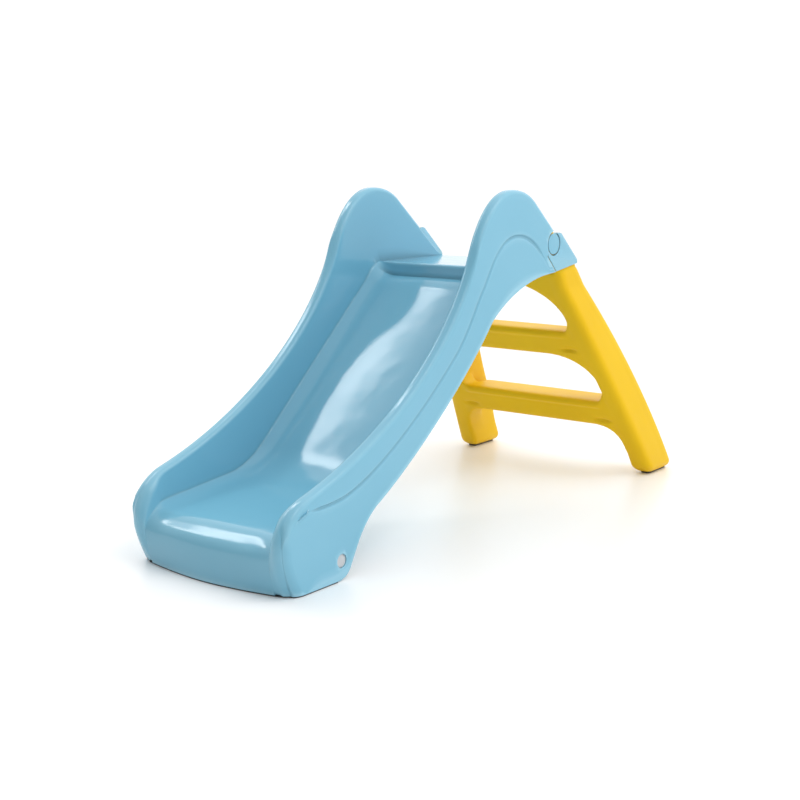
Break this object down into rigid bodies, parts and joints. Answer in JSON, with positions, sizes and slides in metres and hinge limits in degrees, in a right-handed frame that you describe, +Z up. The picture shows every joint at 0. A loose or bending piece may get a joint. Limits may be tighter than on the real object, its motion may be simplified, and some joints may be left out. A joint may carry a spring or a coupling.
{
  "type": "toddler slide",
  "caption": "Freestanding folding toddler slide: one-piece hollow chute with humped side walls, carried by a hinged step ladder that folds under it",
  "frame": {"origin": "centre of the footprint's bounding box, on the ground", "axes": "+Z up, the child slides toward -X, the ladder is at +X, Y is across the slide"},
  "size_m": [1.29, 0.538, 0.661],
  "materials": {
    "blue_plastic": "glossy moulded polyethylene, light blue",
    "yellow_plastic": "satin moulded polyethylene, yellow, fine orange-peel",
    "grey_plastic": "pale grey moulded plug",
    "rubber": "dark soft strip and pads",
    "steel": "zinc-plated"
  },
  "bodies": {
    "chute": {"slide_body": "blue_plastic", "foot_strip": "rubber", "foot_tie_rod": "steel", "hinge_cover_left": "blue_plastic", "hinge_cover_right": "blue_plastic", "hinge_pin_left": "blue_plastic", "hinge_pin_right": "blue_plastic", "pin_ring_left": "steel", "pin_ring_right": "steel", "rod_plug_left": "grey_plastic", "rod_plug_right": "grey_plastic"},
    "ladder_frame": {"ladder": "yellow_plastic", "ladder_foot_left": "rubber", "ladder_foot_right": "rubber"}
  },
  "joints": [
    {"name": "ladder_fold", "type": "hinge", "parent": "chute", "child": "ladder_frame", "pos_m": [0.205, 0, 0.547], "axis": [0, 1, 0], "range_deg": [0, 75]}
  ]
}
